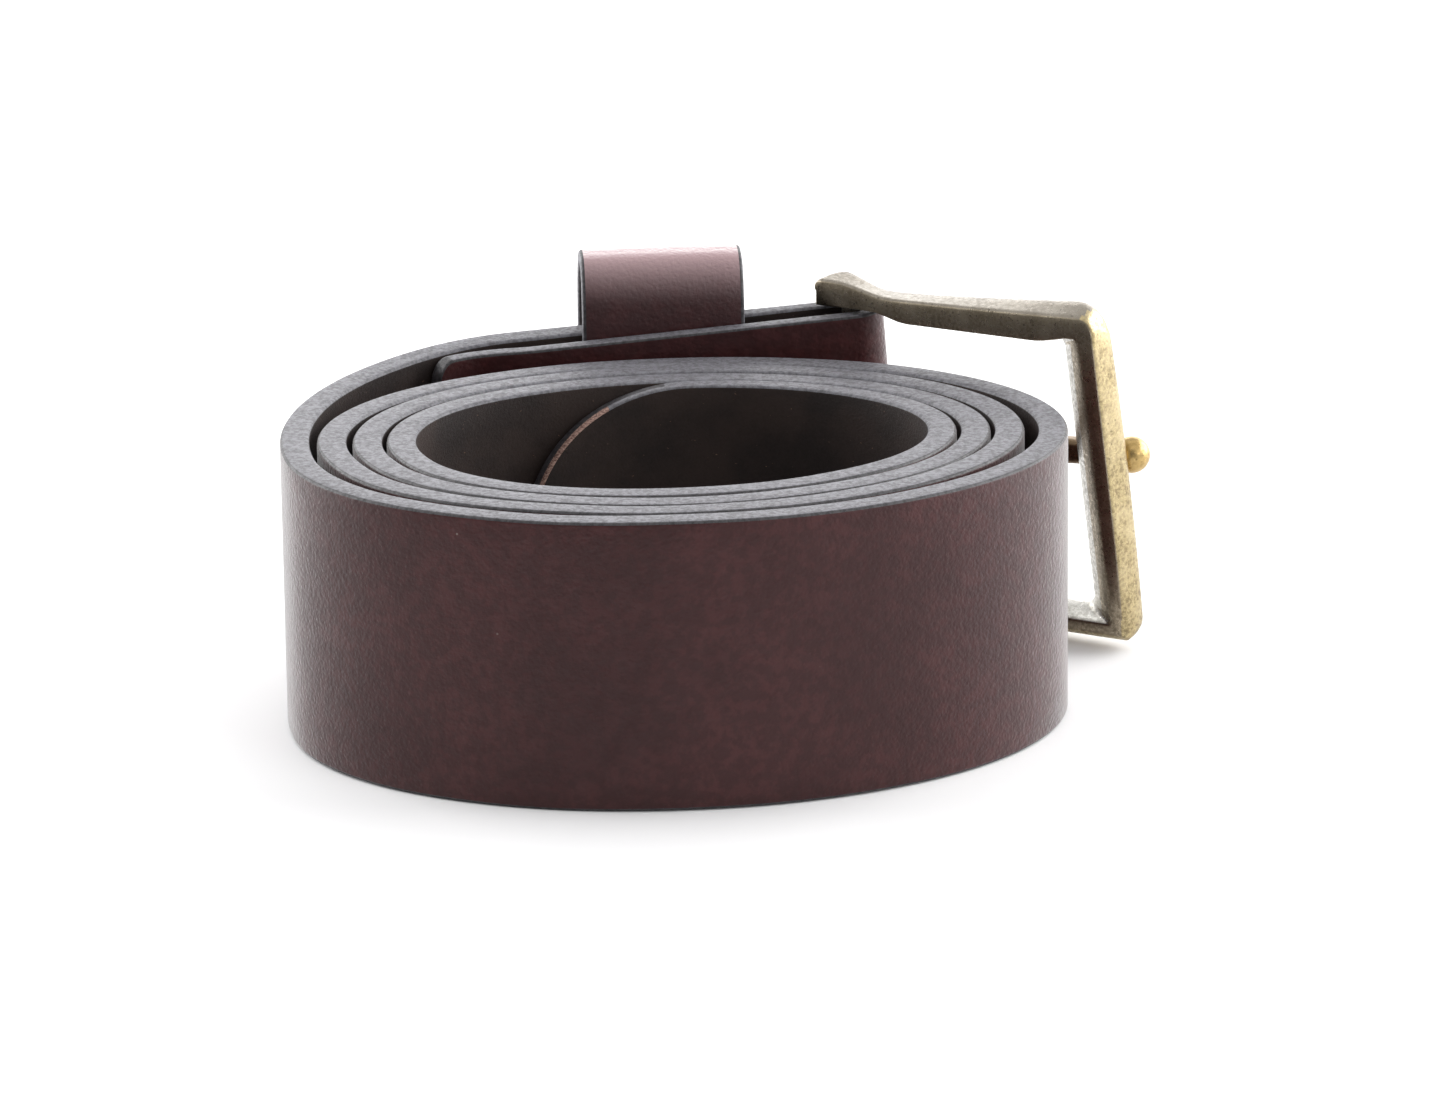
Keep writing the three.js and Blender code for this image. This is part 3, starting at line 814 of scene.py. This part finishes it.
def domed_head(seat, direction):
    """Profile of a low domed head that starts at its seat and rises in a direction."""
    bevel = 0.12
    rim = 0.45 * SCREW_HEAD_THICKNESS
    dome = SCREW_HEAD_THICKNESS - rim
    steps = [(SCREW_HEAD - bevel, 0.0), (SCREW_HEAD, bevel), (SCREW_HEAD, rim)]
    for i in range(1, 8):
        angle = i / 8 * math.pi / 2
        steps.append((SCREW_HEAD * math.cos(angle * 0.98), rim + dome * math.sin(angle)))
    steps.append((0.02, SCREW_HEAD_THICKNESS))
    return [(radius, seat + direction * rise) for radius, rise in steps]


def driver_slot(face):
    """Cutter for a screwdriver slot, through the top of a head whose face is at this height."""
    half_length = SCREW_HEAD * 1.2
    half_gap = 0.45
    low = face - 0.5
    high = face + 0.6
    outline = [(-half_length, -half_gap), (half_length, -half_gap),
               (half_length, half_gap), (-half_length, half_gap)]
    rings = [[Vector((x, height, z)) for x, z in outline] for height in (low, high)]
    return facing_out(make_object("driver_slot", *skin(rings)))


def make_screws():
    """Each pair: a domed post from the grain side and a slotted screw from the inside."""
    for where, distance in SCREW_PLACES.items():
        outside, inside = screw_stack(distance)
        centre, along, across, out = main_frame(FOLD_START - distance)
        basis = (along, out, across)
        post = [(SCREW_POST, GAP - inside), (SCREW_POST, outside)] + domed_head(outside, 1)
        post_object = place(lathe(f"post_{where}", post), basis, centre)
        finish_piece(post_object, "strap", (BRASS,), replaces=(f"screw_post_{where}",))
        screw = [(SCREW_SHANK, GAP - inside), (SCREW_SHANK, -inside)] + domed_head(-inside, -1)
        screw_object = lathe(f"screw_head_{where}", screw)
        combine(screw_object, driver_slot(-inside - SCREW_HEAD_THICKNESS), "DIFFERENCE")
        place(screw_object, basis, centre)
        finish_piece(screw_object, "strap", (BRASS,), 35, (f"screw_{where}",))


# ---- The buckle ------------------------------------------------------------------------------------

def buckle_basis():
    tilt = Matrix.Rotation(-BAR_TILT, 3, FOLD_OUT)
    along = tilt @ FOLD_ALONG
    bar = tilt @ FOLD_ACROSS
    yaw = Matrix.Rotation(-BUCKLE_YAW, 3, bar)
    x = yaw @ along
    y = yaw @ FOLD_OUT
    origin = BAR_CENTRE + FOLD_ACROSS * BUCKLE_RAISED - FOLD_ALONG * BAR_SET_BACK
    return (x, y, bar), origin


def end_at(z):
    """Outer side of the end bar, which leans: it stands further out at its lower end."""
    return BUCKLE_END + 0.5 - 0.036 * z


def rail_height(x, front, lower):
    """How far a rail reaches from the middle: a heel at one end, a waist, and a flare at the other.

    The heel and the flare are larger on the frame's face (front 1) than on its back (front 0).
    """
    flare = 2.1 * (max(0, x - 7) / 30) ** 1.3 - 0.75
    if lower:
        back = RAIL_WAIST + 0.3 * smooth((4 - x) / 6.5)
        face = RAIL_WAIST + 0.5 * smooth((3.4 - x) / 6.8) + 0.55 * smooth((x - 10) / 26)
    else:
        back = RAIL_WAIST - 0.05 + 1.6 * smooth((8 - x) / 9) + 0.4 * flare
        face = RAIL_WAIST + 2.3 * smooth((5.5 - x) / 8.5) + flare
    return mix(back, face, smooth(front * 1.2))


def half_outline(front, inset, lower):
    """One rail's outer outline at a depth, from the middle of the heel's end to the end corner."""
    corner = mix(0.9, 3.0, smooth(front)) if lower else mix(2.2, 4.4, smooth(front))
    heel_corner = mix(1.2, 1.8 if lower else 3.0, smooth(front))
    heel_top = rail_height(HEEL_END + heel_corner, front, lower) - inset
    points = []
    for i in range(CORNER_STEPS):
        angle = math.pi / 2 * i / CORNER_STEPS
        x = HEEL_END + inset + heel_corner * (1 - math.cos(angle))
        points.append((x, heel_top - heel_corner * (1 - math.sin(angle))))
    end = end_at(-BUCKLE_HALF_HEIGHT if lower else BUCKLE_HALF_HEIGHT)
    start = HEEL_END + heel_corner + inset
    finish = end - corner
    for i in range(RAIL_STEPS):
        x = mix(start, finish, i / RAIL_STEPS)
        points.append((x, rail_height(x, front, lower) - inset))
    high = rail_height(finish, front, lower)
    reach = corner - inset
    for i in range(CORNER_STEPS):
        angle = math.pi / 2 * i / CORNER_STEPS
        points.append((finish + reach * math.sin(angle), high - corner + reach * math.cos(angle)))
    return points, high - corner


def outer_side(front, inset, lower_inset):
    """The frame's outer outline at a depth, from the upper rail's heel round to the lower rail's."""
    upper, high = half_outline(front, inset, False)
    lower, low = half_outline(front, lower_inset, True)
    bar = []
    for i in range(END_STEPS + 1):
        z = mix(high, -low, i / END_STEPS)
        bow = 0.5 * smooth(front * 1.3) * (1 - (z / BUCKLE_HALF_HEIGHT) ** 2)
        bar.append((end_at(z) - mix(inset, lower_inset, (i / END_STEPS) ** 6) + bow, z))
    return upper + bar + [(x, -z) for x, z in reversed(lower)]


def inner_side(front, inset):
    """The opening's outline at a depth, with as many points as the outer one, in the same order."""
    bar_width = END_BAR_WIDTH + END_BAR_SLOPE * math.sin(math.pi / 2 * min(1, front))
    corner = mix(0.7, 1.8, smooth(front))
    heel = HEEL_END + inset
    halves = []
    for side in (1, -1):
        end = end_at(side * BUCKLE_HALF_OPENING) - bar_width + inset
        deepest = UPPER_SAG if side > 0 else LOWER_SAG * front
        half = []
        count = CORNER_STEPS + RAIL_STEPS
        for i in range(count):
            x = mix(heel, end - corner, i / count)
            sag = deepest * smooth((x - 4.5) / 6) * smooth((38 - x) / 8)
            half.append((x, BUCKLE_HALF_OPENING + inset - sag))
        for i in range(CORNER_STEPS):
            angle = math.pi / 2 * i / CORNER_STEPS
            half.append((end - corner + corner * math.sin(angle),
                         half[count - 1][1] - corner + corner * math.cos(angle)))
        halves.append([(x, side * z) for x, z in half])
    high = halves[0][-1][1]
    low = halves[1][-1][1]
    bar = []
    for i in range(END_STEPS + 1):
        z = mix(high, low, i / END_STEPS)
        bar.append((end_at(z) - bar_width + inset, z))
    return halves[0] + bar + list(reversed(halves[1]))


def buckle_region(centre, normal):
    """Index of the frame's brass copy, chosen by which way a face points, as painted light: greyer rail
    tops facing up and golden end and other faces (painted reflection), darker back (painted shade),
    pale inner walls (painted reflection).
    """
    rail, golden, back, inner = range(4)
    # back faces: the darker copy, painted shade
    if normal.y < -0.8:
        return back
    inside = abs(centre.z) < BUCKLE_HALF_OPENING + 0.4 and centre.x < end_at(centre.z) - 1.8
    # inner walls: the pale copy, painted reflection
    if inside and normal.y < 0.7:
        return inner
    # rail tops facing up: the greyer copy; all other faces golden: painted reflection
    return rail if normal.z > 0.5 and centre.x < BUCKLE_END - 2.2 else golden


def make_frame():
    """The frame is skinned over outlines at several depths: out along its face and back inside it.

    An outer level is (depth, upper inset, lower inset), and an inner one is (depth, inset).
    """
    half = BUCKLE_DEPTH / 2
    outer_levels = [(-half, 0.42, 0.95), (-half + 0.10, 0.20, 0.84), (-half + 0.28, 0.07, 0.66),
                    (-half + 0.55, 0, 0.42), (-half + 1.0, 0, 0.08), (0, 0, 0), (half - 1.7, 0, 0),
                    (half - 0.9, 0.10, 0.10), (half - 0.4, 0.38, 0.38), (half - 0.1, 0.85, 0.85),
                    (half, 1.3, 1.3)]
    inner_levels = [(half, 0.75), (half - 0.12, 0.35), (half - 0.45, 0.08), (half - 1.0, 0),
                    (0.6, 0), (-0.3, 0), (-1.1, 0), (-half + 0.8, 0), (-half + 0.3, 0.03),
                    (-half + 0.08, 0.14), (-half, 0.34)]
    loops = []
    for y, inset, lower_inset in outer_levels:
        outline = outer_side((y + half) / BUCKLE_DEPTH, inset, lower_inset)
        loops.append([(x, y, z) for x, z in outline])
    for y, inset in inner_levels:
        loops.append([(x, y, z) for x, z in inner_side((y + half) / BUCKLE_DEPTH, inset)])
    rings = [[Vector(loop[i]) for loop in loops] for i in range(len(loops[0]))]
    buckle = facing_out(make_object("buckle_body", *skin(rings)))
    finish_piece(buckle, "buckle", (BRASS, GOLDEN, BACK_PAINTED_SHADE, INNER_PAINTED_REFLECTION), 42, ("buckle_frame",))
    for polygon in buckle.data.polygons:
        polygon.material_index = buckle_region(polygon.center, polygon.normal)
    basis, origin = buckle_basis()
    return place(buckle, basis, origin)


def make_bar():
    """The rod in the heel, with bevelled ends."""
    bevel = 0.4
    profile = [(-BAR_HALF, BAR_RADIUS - bevel), (-BAR_HALF + bevel, BAR_RADIUS),
               (BAR_HALF - bevel, BAR_RADIUS), (BAR_HALF, BAR_RADIUS - bevel)]
    rings = [level_ring(circle(0, radius, 32), z) for z, radius in profile]
    bar = facing_out(make_object("bar_rod", *skin(rings)))
    basis, origin = buckle_basis()
    place(bar, basis, origin)
    return finish_piece(bar, "buckle", (BRASS,), replaces=("heel_bar",))


def spline(points, t):
    """A smooth curve through the points, t running from 0 to 1."""
    spans = len(points) - 1
    i = min(int(t * spans), spans - 1)
    u = t * spans - i
    p1, p2 = points[i], points[i + 1]
    p0 = points[i - 1] if i > 0 else p1 * 2 - p2
    p3 = points[i + 2] if i + 2 <= spans else p2 * 2 - p1
    return (p1 * 2 + (p2 - p0) * u + (p0 * 2 - p1 * 5 + p2 * 4 - p3) * u * u
            + (p1 * 3 - p0 - p2 * 3 + p3) * u ** 3) / 2


def prong_shank():
    """The prong from its eye to its ball tip: a soft-cornered bar that narrows to a neck."""
    bore = BAR_RADIUS + GAP
    middle = bore + PRONG_EYE_WALL / 2
    rest = BUCKLE_DEPTH / 2 + GAP + PRONG_THICKNESS / 2
    ball = BUCKLE_DEPTH / 2 + GAP + PRONG_BALL
    lean = Vector((0, 0, PRONG_LEAN))
    line = [Vector((0, middle, 0)), Vector((PRONG_REACH * 0.3, middle + 1.1, 0)),
            Vector((PRONG_REACH * 0.7, rest + 0.5, 0)) + lean * 0.45,
            Vector((PRONG_REACH - PRONG_BALL * 0.8, ball, 0)) + lean * 0.95]
    rings = []
    for i in range(41):
        t = i / 40
        here = spline(line, t)
        ahead = (spline(line, min(1, t + 0.01)) - spline(line, max(0, t - 0.01))).normalized()
        side = Vector((-ahead.y, ahead.x, 0))
        wide = PRONG_WIDTH / 2 * mix(1, 0.80, smooth((t - 0.1) / 0.9))
        thick = PRONG_THICKNESS / 2 * mix(0.88, 0.80, smooth((t - 0.5) / 0.5))
        section = rounded_rectangle(wide, thick, min(wide, thick) * 0.72, 2, 1, 5)
        rings.append([here + UP * u + side * v for u, v in section])
    return facing_out(make_object("prong_piece", *skin(rings)))


def prong_ball():
    centre = Vector((PRONG_REACH, BUCKLE_DEPTH / 2 + GAP + PRONG_BALL, PRONG_LEAN))
    rings = []
    for i in range(1, 24):
        angle = math.pi * i / 24
        x = -PRONG_BALL * math.cos(angle)
        outline = circle(0, PRONG_BALL * math.sin(angle), 40)
        rings.append([centre + Vector((x, y, z)) for y, z in outline])
    return facing_out(make_object("prong_ball", *skin(rings)))


def prong_eye():
    """The rolled eye that turns on the bar, its edges softened."""
    bore = BAR_RADIUS + GAP
    half = PRONG_WIDTH / 2
    middle = bore + PRONG_EYE_WALL / 2
    section = rounded_rectangle(half, PRONG_EYE_WALL / 2, 0.45, 3, 1)
    rings = []
    for i in range(48):
        angle = 2 * math.pi * i / 48
        away = Vector((math.cos(angle), math.sin(angle), 0))
        rings.append([away * (middle + v) + UP * u for u, v in section])
    return facing_out(make_object("prong_eye", *skin(rings, closed=True)))


def make_prong():
    prong = combine(prong_shank(), prong_ball(), "UNION")
    bore = facing_out(make_object("prong_bore", *prism(circle(0, PRONG_BORE, 48), -8, 8)))
    combine(prong, bore, "DIFFERENCE")
    combine(prong, prong_eye(), "UNION")
    finish_piece(prong, "prong", (TIP_BRASS, SHANK_PAINTED_SHADE), 45, ("prong",))
    for polygon in prong.data.polygons:
        # the darker shank copy is painted shade; faces from 4 mm before the ball's centre onward keep
        # the tip brass
        polygon.material_index = 1 if polygon.center.x < PRONG_REACH - 4 else 0
    basis, origin = buckle_basis()
    return place(prong, basis, origin + FOLD_ACROSS * PRONG_RISE)


# ---- Table, light and camera -----------------------------------------------------------------------

def make_table():
    """A large flat sheet in metres, a hair below the part's own ground."""
    size = 4.0
    count = 8
    row = count + 1
    vertices = [((i / count - 0.5) * size, (j / count - 0.5) * size, 0)
                for i in range(row) for j in range(row)]
    faces = [(i * row + j, (i + 1) * row + j, (i + 1) * row + j + 1, i * row + j + 1)
             for i in range(count) for j in range(count)]
    table = make_object("table", vertices, faces)
    table.location.z = -0.00005
    table.data.materials.append(table_top())


def add_softbox(name, location, target, size, power):
    light = bpy.data.lights.new(name, "AREA")
    light.shape = "RECTANGLE"
    light.size, light.size_y = size
    light.energy = power
    lamp = bpy.data.objects.new(name, light)
    lamp.location = location
    lamp.rotation_mode = "QUATERNION"
    lamp.rotation_quaternion = (Vector(target) - Vector(location)).to_track_quat("-Z", "Y")
    bpy.context.scene.collection.objects.link(lamp)


def make_light():
    """A pale world and five soft boxes; places and sizes are in metres, powers in watts."""
    world = bpy.data.worlds.new("studio")
    world.use_nodes = True
    background = world.node_tree.nodes["Background"]
    background.inputs["Color"].default_value = (0.97, 0.985, 1.0, 1)
    background.inputs["Strength"].default_value = 0.35
    bpy.context.scene.world = world
    add_softbox("overhead", (0, 0.0, 0.75), (0, 0, 0), (1.3, 1.4), 4.6)
    add_softbox("backdrop", (0, 0.85, 0.33), (0, 0, 0.03), (1.7, 0.6), 8.0)
    add_softbox("left_side", (-0.68, 0.28, 0.30), (0, 0, 0.03), (0.7, 0.55), 6.5)
    add_softbox("right_side", (0.68, 0.22, 0.30), (0, 0, 0.03), (0.8, 0.55), 8.6)
    add_softbox("front_right", (0.68, -0.62, 0.42), (0, 0, 0.03), (0.5, 0.5), 1.8)


def make_camera():
    """Looks along the photograph's line of sight, through a long lens."""
    pitch = math.radians(16.644)
    roll = math.radians(-0.676)
    forward = Vector((0, math.cos(pitch), -math.sin(pitch)))
    upward = Vector((0, math.sin(pitch), math.cos(pitch)))
    right = Vector((1, 0, 0))
    camera_x = right * math.cos(roll) + upward * math.sin(roll)
    camera_y = upward * math.cos(roll) - right * math.sin(roll)
    data = bpy.data.cameras.new("camera")
    data.lens = 185.58
    data.sensor_width = 36
    data.clip_start = 0.05
    data.clip_end = 20
    camera = bpy.data.objects.new("camera", data)
    turn = Matrix((camera_x, camera_y, -forward)).transposed()
    spot = (Vector((5.75, -933.57, 301.23)) + COIL_CENTRE) * MM
    camera.matrix_world = Matrix.Translation(spot) @ turn.to_4x4()
    bpy.context.scene.collection.objects.link(camera)
    bpy.context.scene.camera = camera


make_strap()
make_keeper()
make_screws()
make_frame()
make_bar()
make_prong()
make_table()
make_light()
make_camera()
bpy.context.scene.view_settings.view_transform = "Standard"
